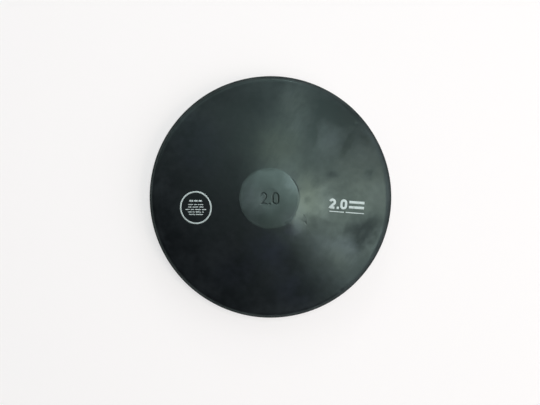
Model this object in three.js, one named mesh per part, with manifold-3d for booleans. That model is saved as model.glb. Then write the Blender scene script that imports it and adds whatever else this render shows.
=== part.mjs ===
// A two kilogram rubber training discus, lying flat on its lower hub.
//
// The discus is a rubber body moulded in two halves round a perforated steel core
// plate. Each half carries pegs of rubber that run through the plate's holes and
// meet those of the other half, which is how moulded rubber keys itself to steel.
// The mould holds the plate by its middle, so each half is left with a round well
// there. A trim washer goes into each well to bring the discus to its weight, and
// a rubber hub plug closes it and makes the flat centre that the thrower sees.
//
// Millimetres, +Z up. The origin is the centre of the lower hub's flat face, so
// the part stands on the plane z = 0 and is round about Z.

import * as THREE from "three";
import { mergeVertices } from "three/addons/utils/BufferGeometryUtils.js";
import Module from "manifold-3d";

// Outer sizes, from the rules for a two kilogram discus
const discusDiameter = 220;
const centreThickness = 45;
const hubDiameter = 53;
const rimRadius = 6.25;

// Rubber body
const hubProud = 0.6;
const mouthRound = 0.5;
const rubberFit = 0.3;

// Hub plug
const plugEdgeRound = 0.9;
const plugSkirtWall = 3.2;

// Steel core plate, which ends well inside the rubber so that the rim gives a little
const solidRubberRim = 34;
const coreThickness = 8;
const coreEdgeChamfer = 1;
const locatorHoleDiameter = 16;
const knitHoleDiameter = 18;
const knitHoleCount = 8;

// Trim washer
const washerThickness = 2;

// How far a joined piece is sunk into its neighbour, and a cutter runs past a face
const overrun = 1;

// Facets in a full turn of the large rounds and of the pegs and holes
const bodyFacets = 88;
const pegFacets = 24;
const quarterSteps = 8;
const edgeSteps = 4;

// Places that follow from the sizes, measured up from the plane where the halves meet
const halfThickness = centreThickness / 2;
const shoulderHeight = halfThickness - hubProud;
const plugRadius = hubDiameter / 2;
const wellRadius = plugRadius + rubberFit;
const pocketRadius = plugRadius - plugSkirtWall;
const coreTop = coreThickness / 2;
const coreRadius = discusDiameter / 2 - solidRubberRim;
const locatorRadius = locatorHoleDiameter / 2;
const knitCircleRadius = (wellRadius + coreRadius) / 2;
const washerTop = coreTop + washerThickness;

const rubber = new THREE.MeshStandardMaterial({ color: 0x20272a, roughness: 0.5, metalness: 0 });
const hubRubber = new THREE.MeshStandardMaterial({ color: 0x2b3436, roughness: 0.55, metalness: 0 });
const steel = new THREE.MeshStandardMaterial({ color: 0x8d9196, roughness: 0.4, metalness: 1 });

const wasm = await Module();
wasm.setup();

// Turns a closed profile of [radius, height] points about Z
function revolve(profile, facets = bodyFacets) {
  const points = profile.map(([radius, height]) => new THREE.Vector2(radius, height));
  return new THREE.LatheGeometry(points, facets).rotateX(Math.PI / 2);
}

// Points on a round corner, from one angle to another about a centre
function arc(centreRadius, centreHeight, radius, fromAngle, toAngle, steps) {
  return Array.from({ length: steps + 1 }, (_, i) => {
    const angle = fromAngle + ((toAngle - fromAngle) * i) / steps;
    return [centreRadius + radius * Math.cos(angle), centreHeight + radius * Math.sin(angle)];
  });
}

// A three.js geometry as a solid that can be joined and cut
function toSolid(geometry) {
  const bare = geometry.clone();
  bare.deleteAttribute("normal");
  bare.deleteAttribute("uv");
  const merged = mergeVertices(bare);
  return new wasm.Manifold(
    new wasm.Mesh({
      numProp: 3,
      vertProperties: merged.attributes.position.array,
      triVerts: new Uint32Array(merged.index.array),
    }),
  );
}

// The solid back as a three.js geometry
function toGeometry(solid) {
  const mesh = solid.getMesh();
  const geometry = new THREE.BufferGeometry();
  geometry.setAttribute("position", new THREE.BufferAttribute(mesh.vertProperties, 3));
  geometry.setIndex(new THREE.BufferAttribute(mesh.triVerts, 1));
  geometry.computeVertexNormals();
  return geometry;
}

// One round bar for each knit hole, between two heights
function knitBars(radius, low, high) {
  return Array.from({ length: knitHoleCount }, (_, i) => {
    const angle = ((i + 0.5) * 2 * Math.PI) / knitHoleCount;
    const bar = new THREE.CylinderGeometry(radius, radius, high - low, pegFacets).rotateX(Math.PI / 2);
    bar.translate(
      knitCircleRadius * Math.cos(angle),
      knitCircleRadius * Math.sin(angle),
      (low + high) / 2,
    );
    return toSolid(bar);
  });
}

// The rounded rim and the straight taper that is tangent to it, from the rim's
// outermost point up to the mouth of the well
function faceProfile() {
  const rimCentre = discusDiameter / 2 - rimRadius;
  const mouthRadius = wellRadius + mouthRound;
  const run = rimCentre - mouthRadius;
  const reach = Math.hypot(run, shoulderHeight);
  const taperAngle = Math.atan2(shoulderHeight, run) - Math.asin(rimRadius / reach);
  const mouthCentre = shoulderHeight - mouthRound;
  return [
    ...arc(rimCentre, 0, rimRadius, 0, Math.PI / 2 - taperAngle, quarterSteps),
    ...arc(mouthRadius, mouthCentre, mouthRound, Math.PI / 2, Math.PI, edgeSteps),
  ];
}

// One moulded half: outer face, well, the recess that takes half the core plate,
// and the pegs that run through the plate
function rubberHalf() {
  const recessRadius = coreRadius + rubberFit;
  const shell = revolve([
    ...faceProfile(),
    [wellRadius, coreTop],
    [recessRadius - coreEdgeChamfer, coreTop],
    [recessRadius, coreTop - coreEdgeChamfer],
    [recessRadius, 0],
    [discusDiameter / 2, 0],
  ]);
  const pegs = knitBars(knitHoleDiameter / 2 - rubberFit, 0, coreTop + overrun);
  return toGeometry(pegs.reduce((body, peg) => body.add(peg), toSolid(shell)));
}

// The steel plate between the halves, with its knit holes and locator hole
function corePlate() {
  const plate = revolve([
    [locatorRadius, -coreTop],
    [coreRadius - coreEdgeChamfer, -coreTop],
    [coreRadius, coreEdgeChamfer - coreTop],
    [coreRadius, coreTop - coreEdgeChamfer],
    [coreRadius - coreEdgeChamfer, coreTop],
    [locatorRadius, coreTop],
    [locatorRadius, -coreTop],
  ]);
  const holes = knitBars(knitHoleDiameter / 2, -coreTop - overrun, coreTop + overrun);
  return toGeometry(holes.reduce((body, hole) => body.subtract(hole), toSolid(plate)));
}

// The washer that trims the weight, lying on the core plate round the plug's peg
function trimWasher() {
  const washerRadius = pocketRadius - rubberFit;
  return revolve([
    [locatorRadius, coreTop],
    [washerRadius, coreTop],
    [washerRadius, washerTop],
    [locatorRadius, washerTop],
    [locatorRadius, coreTop],
  ]);
}

// The plug that closes the well: a locating peg, a pocket over the washer, a skirt
// that stands on the core plate, and the flat hub with its rounded edge
function hubPlug() {
  const pegRadius = locatorRadius - rubberFit;
  const edgeCentreRadius = plugRadius - plugEdgeRound;
  const edgeCentreHeight = halfThickness - plugEdgeRound;
  return revolve([
    [0, 0],
    [pegRadius, 0],
    [pegRadius, washerTop],
    [pocketRadius, washerTop],
    [pocketRadius, coreTop],
    [plugRadius, coreTop],
    ...arc(edgeCentreRadius, edgeCentreHeight, plugEdgeRound, 0, Math.PI / 2, edgeSteps),
    [0, halfThickness],
  ]);
}

function named(name, geometry, material) {
  const mesh = new THREE.Mesh(geometry, material);
  mesh.name = name;
  return mesh;
}

// The pieces on one side of the plane where the halves meet
function side(prefix) {
  const group = new THREE.Group();
  group.add(
    named(prefix + "_rubber_half", rubberHalf(), rubber),
    named(prefix + "_trim_washer", trimWasher(), steel),
    named(prefix + "_hub_plug", hubPlug(), hubRubber),
  );
  return group;
}

const upperSide = side("upper");
const lowerSide = side("lower");
lowerSide.rotation.x = Math.PI;

const discus = new THREE.Group();
discus.add(upperSide, lowerSide, named("core_plate", corePlate(), steel));
discus.position.z = halfThickness;

export default discus;
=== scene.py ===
# %% [markdown]
# # A rubber training discus
#
# This lesson dresses a two kilogram discus. The solid model is already there: two moulded
# rubber halves round a steel plate, and a rubber plug in the middle of each face. Its sizes
# are fixed, so what is left for Blender is what moulding, handling and storage do to rubber.
#
# Each step has a note on the real thing first and its code after it. Lengths are in metres.

# %% Start from the fixed solids
import math

import bmesh
import bpy
import numpy as np
from mathutils import Matrix, Vector


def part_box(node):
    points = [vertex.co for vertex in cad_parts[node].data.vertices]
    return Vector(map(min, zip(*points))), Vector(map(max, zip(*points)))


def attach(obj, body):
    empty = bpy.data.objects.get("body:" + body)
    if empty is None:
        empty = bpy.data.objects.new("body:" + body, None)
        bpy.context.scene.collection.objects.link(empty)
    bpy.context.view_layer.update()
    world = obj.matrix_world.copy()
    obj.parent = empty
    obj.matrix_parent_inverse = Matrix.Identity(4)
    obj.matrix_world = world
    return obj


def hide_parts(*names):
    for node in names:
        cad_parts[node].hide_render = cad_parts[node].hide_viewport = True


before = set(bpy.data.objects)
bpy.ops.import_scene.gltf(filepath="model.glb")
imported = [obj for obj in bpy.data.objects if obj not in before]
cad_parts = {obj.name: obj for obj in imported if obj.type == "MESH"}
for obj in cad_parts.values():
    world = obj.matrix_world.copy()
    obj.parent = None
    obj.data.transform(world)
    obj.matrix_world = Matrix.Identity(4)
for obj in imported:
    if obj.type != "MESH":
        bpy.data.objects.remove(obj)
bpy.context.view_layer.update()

print("solids:", ", ".join(sorted(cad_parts)))

# %% [markdown]
# ## Sizes
#
# The large sizes are read off the solids, so that the dressed discus can't drift from them.
# The small radii can't be read off a box and are written here: the rim's rounding, the mouth
# of the well that holds the plug, the gap round the plug and the rounding of its edge. So is
# the number of flat facets that each solid has in a full turn.

# %% Sizes of the body and of the hub
MM = 0.001
CM = 0.01

body_low, body_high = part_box("upper_rubber_half")
hub_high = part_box("upper_hub_plug")[1]
outer_radius = body_high.x
parting_height = body_low.z
shoulder = body_high.z - parting_height
hub_radius = hub_high.x
hub_top = hub_high.z - parting_height

rim_radius = 6.25 * MM
mouth_round = 0.5 * MM
plug_gap = 0.3 * MM
plug_edge_round = 0.9 * MM
facets = 88

mouth_radius = hub_radius + plug_gap + mouth_round
rim_centre = outer_radius - rim_radius
run = rim_centre - mouth_radius
taper = math.atan2(shoulder, run) - math.asin(rim_radius / math.hypot(run, shoulder))
print(f"body {2 * outer_radius / MM:.0f} mm across, hub {2 * hub_radius / MM:.0f} mm")
print(f"taper {math.degrees(taper):.1f} degrees")

# %% [markdown]
# ## The outline of one half
#
# A discus is turned from one outline: a rounded rim, a straight taper that leaves the rim
# without a corner, and a small rounding where the well for the plug begins. It could be
# drawn as a curve object. Here it is written as a function of the distance along it,
# starting at the parting plane. Steps can then be close together on the roundings and wide
# apart on the taper, and every point knows which way its surface faces.

# %% The outline, its lengths and its directions
rim_length = rim_radius * (math.pi / 2 - taper)
taper_top = rim_centre + rim_radius * math.sin(taper)
taper_length = (taper_top - mouth_radius) / math.cos(taper)
mouth_length = mouth_round * math.pi / 2
body_length = rim_length + taper_length + mouth_length


def body_outline(s):
    """Radius, height above the parting plane and facing of the body at distance s."""
    rim_angle = np.minimum(s, rim_length) / rim_radius
    on_taper = np.clip(s - rim_length, 0, taper_length)
    mouth_angle = np.clip(s - rim_length - taper_length, 0, None) / mouth_round
    facing = rim_angle + mouth_angle * (math.pi / 2 + taper) / (math.pi / 2)
    radius = rim_centre + rim_radius * np.cos(rim_angle) - on_taper * math.cos(taper)
    height = rim_radius * np.sin(rim_angle) + on_taper * math.sin(taper)
    radius = radius - mouth_round * np.sin(mouth_angle)
    height = height - mouth_round * (1 - np.cos(mouth_angle))
    return radius, height, facing


def steps(*stretches):
    """Distances with a spacing of their own in each stretch, given as (end, spacing)."""
    marks = [0.0]
    for end, spacing in stretches:
        count = max(1, round((end - marks[-1]) / spacing))
        marks += list(np.linspace(marks[-1], end, count + 1)[1:])
    return np.array(marks)


body_steps = steps(
    (1.2 * MM, 0.1 * MM),
    (rim_length, 0.45 * MM),
    (body_length - mouth_length - 16 * MM, 0.9 * MM),
    (body_length - mouth_length, 0.3 * MM),
    (body_length, 0.08 * MM),
)
print(f"outline {body_length / MM:.1f} mm long in {len(body_steps)} rows")

# %% [markdown]
# ## What moulding leaves on the surface
#
# Pressed rubber is never a perfect cone. It sinks a little where it is thick, the two
# halves of the mould leave a thin line round the rim, and handling leaves small dents
# there. None of it is deeper than a fifth of a millimetre, but that is enough to bend a
# reflection. It could be painted as bump, but bump is lost when the meshes are exported, so
# the points themselves are moved. The sinking is a sum of ripples from a seeded draw, which
# gives the same surface every time.

# %% Ripples and soft edges
ripple_pitches = (0.6, 1.7)
body_ripple = 46 * MM
upper_seed, lower_seed = 11, 23


def on_plan(radius, angle):
    """A place in plan, from its distance to the axis and its heading."""
    return radius * np.cos(angle), radius * np.sin(angle)


def smooth(edge_low, edge_high, value):
    """0 below one edge, 1 above the other, with a soft change between them."""
    t = np.clip((value - edge_low) / (edge_high - edge_low), 0, 1)
    return t * t * (3 - 2 * t)


def ripples(x, y, length, seed, count=10):
    """Crossing ripples of about one length, mostly between -1 and 1."""
    rng = np.random.default_rng(seed)
    total = np.zeros_like(x)
    for _ in range(count):
        heading, phase = rng.uniform(0, 2 * math.pi, 2)
        pitch = length * rng.uniform(*ripple_pitches)
        along = x * math.cos(heading) + y * math.sin(heading)
        total += np.sin(2 * math.pi * along / pitch + phase)
    return total / math.sqrt(count)


def half_turn(angle):
    """The same angle, brought between minus and plus half a turn."""
    return (angle + math.pi) % (2 * math.pi) - math.pi


plan = np.linspace(-outer_radius, outer_radius, 200)
swell = ripples(*np.meshgrid(plan, plan), body_ripple, upper_seed)
print(f"ripples reach from {swell.min():.1f} to {swell.max():.1f}")

# %% [markdown]
# ## The rim: parting line, groove and dents
#
# The halves of the mould meet at the middle of the rim and leave a thin ridge, trimmed by
# hand and so uneven. Where the rim's rounding begins, the insert of the mould left a fine
# groove, deepest at one side. The dents are where the discus has met the ground. A sculpting
# brush could make them, but placed by a seeded draw they come out the same every time.

# %% The ridge and the groove
parting_ridge = 0.14 * MM
parting_width = 0.3 * MM
trim_level, trim_swing = 0.55, 0.45
slow_waves, quick_waves, quick_phase = 3, 7, 1
groove_place = 7.4 * MM
groove_width = 0.45 * MM
groove_depth = 0.07 * MM
groove_heading = math.radians(55)


def ridge_and_groove(s, angle):
    """The ridge at the parting line less the groove where the rounding begins."""
    waves = np.sin(slow_waves * angle) * np.sin(quick_waves * angle + quick_phase)
    trimmed = trim_level + trim_swing * waves
    ridge = parting_ridge * trimmed * np.exp(-((s / parting_width) ** 2))
    deeper = 0.5 + 0.5 * np.cos(angle - groove_heading)
    return ridge - groove_depth * deeper * np.exp(-(((s - groove_place) / groove_width) ** 2))


# %% The dents, and the whole rim
dent_count = 26
dent_depth = 0.2 * MM
dent_places = (1.5 * MM, 12 * MM)
dent_lengths, dent_widths = (0.8 * MM, 3.2 * MM), (0.5 * MM, 1.3 * MM)
shallowest = 0.3


def rim_dents(s, angle, seed):
    """Small dents on the rim, each an oval pit."""
    rng = np.random.default_rng(seed)
    total = np.zeros_like(s)
    for _ in range(dent_count):
        place, heading = rng.uniform(*dent_places), rng.uniform(-math.pi, math.pi)
        long, wide = rng.uniform(*dent_lengths), rng.uniform(*dent_widths)
        across = (s - place) / wide
        along = half_turn(angle - heading) * outer_radius / long
        total += rng.uniform(shallowest, 1) * np.exp(-(across**2) - along**2)
    return np.minimum(total, 1)


def rim_relief(s, angle, seed):
    """Ridge, groove and dents of the rim."""
    return ridge_and_groove(s, angle) - dent_depth * rim_dents(s, angle, seed)


print(f"{dent_count} dents on each half, up to {dent_depth / MM:.1f} mm deep")

# %% [markdown]
# ## Three flaws beside the plug
#
# On the upper side the taper dips beside the plug over part of the way round, where the
# joint was not quite filled. At the lower right, where soft rubber came out of the joint, it
# stands up in a low broad lip, and a short torn crease ends it. They could be sculpted, but
# a formula for each keeps them apart, so that each can be moved or made deeper alone. All
# three are placed one by one.

# %% The lip
lip_place = (20.0 * MM, -23.0 * MM)
lip_length, lip_width = 6.5 * MM, 7.5 * MM
lip_height = 0.5 * MM
lip_start = (24.6 * MM, 30.0 * MM)


def lip(x, y):
    """Height of the lip, a broad low hump that dies out towards the plug."""
    along, across = (x - lip_place[0]) / lip_length, (y - lip_place[1]) / lip_width
    return lip_height * np.exp(-(along**2) - across**2) * smooth(*lip_start, np.hypot(x, y))


# %% The dip and the crease
dip_from, dip_to, dip_fade = math.radians(7), math.radians(46), math.radians(9)
dip_width = 1.2 * MM
dip_depth = 0.26 * MM
crease_start, crease_end = (29.8 * MM, -14.6 * MM), (32.4 * MM, -23.6 * MM)
crease_width = 1.5 * MM
crease_depth = 0.16 * MM
crease_edge = 0.4 * MM
fade_inside, fade_outside = 1.5 * MM, 1 * MM


def beside_dip(angle):
    """1 over the part of the way round where the dip is, 0 elsewhere."""
    starts = smooth(dip_from - dip_fade, dip_from, angle)
    return starts * (1 - smooth(dip_to - dip_fade, dip_to, angle))


def crease(x, y):
    """Share of the crease's depth: a steep edge on one side and a slope on the other."""
    run_x, run_y = crease_end[0] - crease_start[0], crease_end[1] - crease_start[1]
    reach = math.hypot(run_x, run_y)
    off_x, off_y = x - crease_start[0], y - crease_start[1]
    along = (off_x * run_x + off_y * run_y) / reach
    across = (off_y * run_x - off_x * run_y) / reach
    starts = smooth(-fade_outside, fade_inside, along)
    ends = smooth(reach - fade_inside, reach + fade_outside, along)
    wall = smooth(-crease_edge, 0, across) * np.clip(1 - across / crease_width, 0, 1)
    return starts * (1 - ends) * wall


def flaws(s, angle, x, y):
    """How deep the upper half is sunk by the dip and by the crease, less the lip."""
    beside = 1 - smooth(0, dip_width, body_length - s)
    return dip_depth * beside * beside_dip(angle) + crease_depth * crease(x, y) - lip(x, y)


print(f"dip {dip_depth / MM:.2f} mm, crease {crease_depth / MM:.2f} mm, lip {lip_height / MM:.1f} mm")

# %% [markdown]
# ## The whole surface of a half
#
# The sinking fades out at the rim and at the joint, so that the halves still meet each
# other and the plug. It comes in two lengths: broad swells where the rubber sank, and the
# finer draw marks of the mould. Blender's displace modifier could add both, but it moves
# points only after the mesh is made, and the joint's bead has to know the heights before.

# %% Sum of the reliefs
body_sink = 0.07 * MM
fade_from_rim, fade_to_joint = 6 * MM, 2 * MM
draw_mark_share, draw_marks_in_swell = 0.15, 6


def body_relief(s, angle, seed):
    """How far the moulded body stands off its outline."""
    x, y = on_plan(body_outline(s)[0], angle)
    inland = smooth(0, fade_from_rim, s) * smooth(0, fade_to_joint, body_length - s)
    swells = ripples(x, y, body_ripple, seed)
    draw_marks = ripples(x, y, body_ripple / draw_marks_in_swell, seed + 1)
    sink = swells + draw_mark_share * draw_marks
    return inland * body_sink * sink + rim_relief(s, angle, seed + 2)


def upper_relief(s, angle):
    """The upper half's relief, with its three flaws."""
    x, y = on_plan(body_outline(s)[0], angle)
    return body_relief(s, angle, upper_seed) - flaws(s, half_turn(angle), x, y)


def lower_relief(s, angle):
    """The lower half's relief, which has no flaws."""
    return body_relief(s, angle, lower_seed)


all_round = np.linspace(0, 2 * math.pi, 360)
lift = upper_relief(*np.meshgrid(body_steps, all_round, indexing="ij"))
print(f"upper relief from {lift.min() / MM:.2f} to {lift.max() / MM:.2f} mm")

# %% [markdown]
# ## A fine skin on a coarse solid
#
# Each rubber solid is a closed body. The halves have a recess for the steel plate and pegs
# that run through it, and the plugs have a pocket. Only the outer faces need to be fine. A
# subdivision modifier would refine every face, and round the recesses' edges too. So the
# solid's own mesh is copied, its outer faces are taken off, and a fine grid of the same
# outline takes their place. The grid has eight columns to each facet of the solid, and a
# thin flat face closes the sliver between the facet's straight edge and the grid's round
# one. What comes out is still one closed body, as the real moulding is.

# %% Taking the outer faces off a solid
columns_per_facet = 8
columns = facets * columns_per_facet
column_angles = np.arange(columns) * 2 * math.pi / columns
same_place = 0.002 * MM
on_skin = 0.02 * MM
outline_samples = 4000
print(f"{columns} columns, {2 * math.pi * outer_radius / columns / MM:.1f} mm apart at the rim")


def outline_gap(corner, outline, length):
    """Distance in the profile plane from a solid's corner to the outline."""
    radius, height, _ = outline(np.linspace(0, length, outline_samples))
    off_radius = radius - math.hypot(corner.x, corner.y)
    off_height = height - abs(corner.z - parting_height)
    return np.hypot(off_radius, off_height).min()


def without_skin(node, outline, length):
    """A copy of the solid without the faces that lie on the outline."""
    shell = bmesh.new()
    shell.from_mesh(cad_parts[node].data)
    bmesh.ops.remove_doubles(shell, verts=shell.verts, dist=same_place)
    outside = {v for v in shell.verts if outline_gap(v.co, outline, length) < on_skin}
    skin = [f for f in shell.faces if outside.issuperset(f.verts)]
    bmesh.ops.delete(shell, geom=skin, context="FACES")
    return shell


def open_ring(shell, radius):
    """Corners of the open ring that the taken skin left at a radius, by column number."""
    ring = {}
    for v in shell.verts:
        if v.is_boundary and abs(math.hypot(v.co.x, v.co.y) - radius) < on_skin:
            turn = math.atan2(v.co.y, v.co.x) / (2 * math.pi)
            ring[round(turn * columns) % columns] = v
    return ring


# %% [markdown]
# ## The grid that takes their place
#
# The grid is the outline carried round the axis: a row of points for each distance along
# it, a column for each angle, each point moved in or out by the relief. A screw modifier
# could spin the outline too, but it would know nothing of dents and flaws. Along each open
# ring the grid is joined to the solid, corner to corner, and the two are welded.

# %% The grid's points, and its joint with the solid
def skin_points(outline, marks, relief, side):
    """Rows of points round the axis, one row for each distance in marks."""
    s, angle = np.meshgrid(marks, column_angles, indexing="ij")
    radius, height, facing = outline(s)
    lift = relief(s, angle)
    radius = radius + lift * np.cos(facing)
    height = height + lift * np.sin(facing)
    z = parting_height + side * height
    return np.stack([*on_plan(radius, angle), z], axis=-1)


def close_ring(shell, ring, row):
    """Joins an open ring of the solid to a row of the grid with thin flat faces."""
    shell.verts.index_update()
    for first in range(0, columns, columns_per_facet):
        shell.faces.new([row[(first + k) % columns] for k in range(columns_per_facet + 1)])
    for column, corner in ring.items():
        corner.co = row[column].co
    return {corner: row[column] for column, corner in ring.items()}


# %% A piece out of solid and grid
def grow_skin(name, node, outline, marks, relief, side, middle=None, skin_length=None):
    """A new piece: the solid with its outer faces replaced by a fine grid."""
    shell = without_skin(node, outline, skin_length or marks[-1])
    first_ring, last_ring = (open_ring(shell, outline(marks[end])[0]) for end in (0, -1))
    grid = skin_points(outline, marks, relief, side)
    rows = [[shell.verts.new(place) for place in row] for row in grid]
    fine = []
    for low, high in zip(rows, rows[1:]):
        for i in range(columns):
            j = (i + 1) % columns
            fine.append(shell.faces.new((low[i], low[j], high[j], high[i])))
    joints = close_ring(shell, first_ring, rows[0])
    if middle is None:
        joints |= close_ring(shell, last_ring, rows[-1])
    else:
        fine += middle(shell, rows[-1], relief, side)
    for face in fine:
        face.smooth = True
    bmesh.ops.weld_verts(shell, targetmap=joints)
    bmesh.ops.recalc_face_normals(shell, faces=shell.faces)
    return new_piece(name, shell)


def new_piece(name, shell):
    """A bmesh as an object of the scene, with what it measures printed."""
    open_edges = sum(1 for edge in shell.edges if not edge.is_manifold)
    volume = abs(shell.calc_volume()) / CM**3
    mesh = bpy.data.meshes.new(name)
    shell.to_mesh(mesh)
    shell.free()
    piece = bpy.data.objects.new(name, mesh)
    bpy.context.scene.collection.objects.link(piece)
    print(f"{name}: {len(mesh.polygons)} faces, {open_edges} open edges, {volume:.2f} cm3")
    return piece


# %% [markdown]
# ## The two rubber halves
#
# Upper and lower half come out of the same mould, so they share the outline and differ only
# in how the rubber sank, in their dents, and in the flaws beside the upper plug. A mirror
# modifier could make the lower one, but it would copy the dents and the flaws as well. So it
# is a grid of its own, with its heights turned over.

# %% Upper and lower half
upper_body = grow_skin("upper_body", "upper_rubber_half", body_outline, body_steps, upper_relief, 1)
lower_body = grow_skin("lower_body", "lower_rubber_half", body_outline, body_steps, lower_relief, -1)

# %% [markdown]
# ## The hub plug
#
# The flat in the middle is a separate plug with a rounded edge. Columns that all meet on
# the axis would be far too thin there, so its middle is a square grid pressed into a round
# one. The rim of such a grid has four times as many corners as one side of the square has
# cells, so a side of a quarter of the columns fits the last row exactly.

# %% The plug's outline
edge_length = plug_edge_round * math.pi / 2
flat_radius = hub_radius - plug_edge_round
dish_radius = 10.0 * MM
dish_margin = 1.5 * MM
middle_radius = dish_radius + dish_margin
full_hub_length = edge_length + flat_radius
hub_length = full_hub_length - middle_radius


def hub_outline(s):
    """Radius, height and facing of the plug, from the foot of its rounded edge inwards."""
    edge_angle = np.minimum(s, edge_length) / plug_edge_round
    inwards = np.maximum(s - edge_length, 0)
    radius = flat_radius + plug_edge_round * np.cos(edge_angle) - inwards
    height = hub_top - plug_edge_round * (1 - np.sin(edge_angle))
    return radius, height, edge_angle


hub_steps = steps((edge_length, 0.1 * MM), (hub_length, 0.7 * MM))
print(f"plug outline in {len(hub_steps)} rows, down to a radius of {middle_radius / MM:.1f} mm")

# %% The plug's middle
def pressed_square(cells):
    """A square grid from -1 to 1 pressed into a round one, as x and y."""
    u = np.linspace(-1, 1, cells + 1)
    a, b = np.meshgrid(u, u, indexing="ij")
    wide = np.abs(a) > np.abs(b)
    reach = np.where(wide, a, b)
    share = np.divide(np.where(wide, b, a), reach, out=np.zeros_like(a), where=reach != 0)
    angle = np.where(wide, math.pi / 4 * share, math.pi / 2 - math.pi / 4 * share)
    return reach * np.cos(angle), reach * np.sin(angle)


def hub_middle(shell, last_row, relief, side):
    """The plug's middle, from a pressed square whose rim is the last row of the grid."""
    cells = columns // 4
    x, y = pressed_square(cells)
    x, y = x * middle_radius, y * middle_radius
    inwards = hub_length + middle_radius - np.hypot(x, y)
    height = hub_top + relief(inwards, np.arctan2(y, x))
    corners = {}
    for i in range(cells + 1):
        for j in range(cells + 1):
            if i in (0, cells) or j in (0, cells):
                turn = math.atan2(y[i, j], x[i, j]) / (2 * math.pi)
                corners[i, j] = last_row[round(turn * columns) % columns]
            else:
                place = (x[i, j], y[i, j], parting_height + side * height[i, j])
                corners[i, j] = shell.verts.new(place)
    around = ((0, 0), (1, 0), (1, 1), (0, 1))
    return [
        shell.faces.new([corners[i + di, j + dj] for di, dj in around])
        for i in range(cells)
        for j in range(cells)
    ]


# %% [markdown]
# ## The moulded figures
#
# A shallow dish in the upper plug carries the weight, 2.0, in sunk figures. The tool that
# pressed them had sloping sides, or the rubber would not have let go. Text objects could
# cut them, but with upright walls and a sharp floor. Here the depth of each point follows
# from its distance to the figures' centre lines, which gives the slope and the soft floor at
# once. The figures are made of straight runs and round stretches.

# %% The figures two, point and nought as centre lines
two_from, two_to = 165, -35


def arc_points(x, y, radius, start, end, step=15):
    """Points on a round stretch, from one angle to another, angles and step in degrees."""
    angles = np.radians(np.linspace(start, end, round(abs(end - start) / step) + 1))
    return [(x + radius * math.cos(a), y + radius * math.sin(a)) for a in angles]


def figures(width, height, spread, point_length):
    """Centre lines of 2.0: the two figures stand a spread apart, the point between them."""
    bowl = width / 2
    top = height / 2 - bowl
    left, right = -spread / 2, spread / 2
    two = arc_points(left, top, bowl, two_from, two_to)
    two += [(left - bowl, -height / 2), (left + bowl, -height / 2)]
    nought = arc_points(right, top, bowl, 0, 180)
    nought += arc_points(right, -top, bowl, 180, 360)
    nought.append(nought[0])
    point = [(-point_length / 2, -height / 2), (point_length / 2, -height / 2)]
    return [two, point, nought]


# %% Distance to the centre lines
def path_distance(x, y, path):
    """Distance in plan to a path of straight runs."""
    best = np.full(x.shape, np.inf)
    for (ax, ay), (bx, by) in zip(path, path[1:]):
        dx, dy = bx - ax, by - ay
        along = np.clip(((x - ax) * dx + (y - ay) * dy) / (dx * dx + dy * dy), 0, 1)
        best = np.minimum(best, np.hypot(x - ax - along * dx, y - ay - along * dy))
    return best


moulded_figures = figures(width=4.8 * MM, height=9.4 * MM, spread=10.6 * MM, point_length=0.2 * MM)
print("centre lines with", ", ".join(str(len(path)) for path in moulded_figures), "points")

# %% [markdown]
# ## The two plugs
#
# The lower plug is plain. Neither is quite flat: rubber draws in as it cools, and a plug
# that is pressed in from above is crowned, by a few tenths of a millimetre at its edge, so
# that its reflection fades from one side to the other. The crown could be a bevel, but a
# bevel has a border, and this has none.

# %% The plugs' surfaces, and the plugs
hub_sink, hub_ripple, hub_seed = 0.03 * MM, 22 * MM, 31
fade_from_edge = 3 * MM
hub_crown, crown_power = 0.42 * MM, 3
stroke = 2.0 * MM
stroke_depth = 0.38 * MM
dish_depth = 0.05 * MM
dish_slope = 3.0 * MM


def plain_hub_relief(s, angle):
    """The plug's own crown and unevenness, which only ever sink below the flat."""
    radius = full_hub_length - s
    inland = smooth(0, fade_from_edge, s)
    swells = ripples(*on_plan(radius, angle), hub_ripple, hub_seed)
    crown = hub_crown * (np.minimum(radius, flat_radius) / flat_radius) ** crown_power
    return -crown - hub_sink * inland * np.clip(1 + swells, 0, 2)


def marked_hub_relief(s, angle):
    """The same with the dish and the sunk figures in it."""
    radius = full_hub_length - s
    x, y = on_plan(radius, angle)
    inside = radius < dish_radius
    gap = np.full(radius.shape, np.inf)
    for path in moulded_figures:
        gap[inside] = np.minimum(gap[inside], path_distance(x[inside], y[inside], path))
    dish = 1 - smooth(dish_radius - dish_slope, dish_radius, radius)
    sunk = 1 - smooth(0, stroke / 2, gap)
    return plain_hub_relief(s, angle) - dish_depth * dish - stroke_depth * sunk


def plug(name, node, relief, side):
    """One plug, its middle made of the pressed square."""
    length = full_hub_length
    return grow_skin(name, node, hub_outline, hub_steps, relief, side, hub_middle, length)


upper_plug = plug("upper_plug", "upper_hub_plug", marked_hub_relief, 1)
lower_plug = plug("lower_plug", "lower_hub_plug", plain_hub_relief, -1)

# %% [markdown]
# ## Thin things on the surface
#
# What lies on the rubber is thin: the bead that fills the joint, rubber that squeezed out
# of it, and the printed ink. Each is a closed sheet with its own top and underside, and the
# underside is sunk into the rubber so that no gap shows. A solidify modifier could thicken a
# single sheet, but its underside would follow the top and not the rubber. So both are worked
# out, and one function closes any such sheet.

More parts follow.
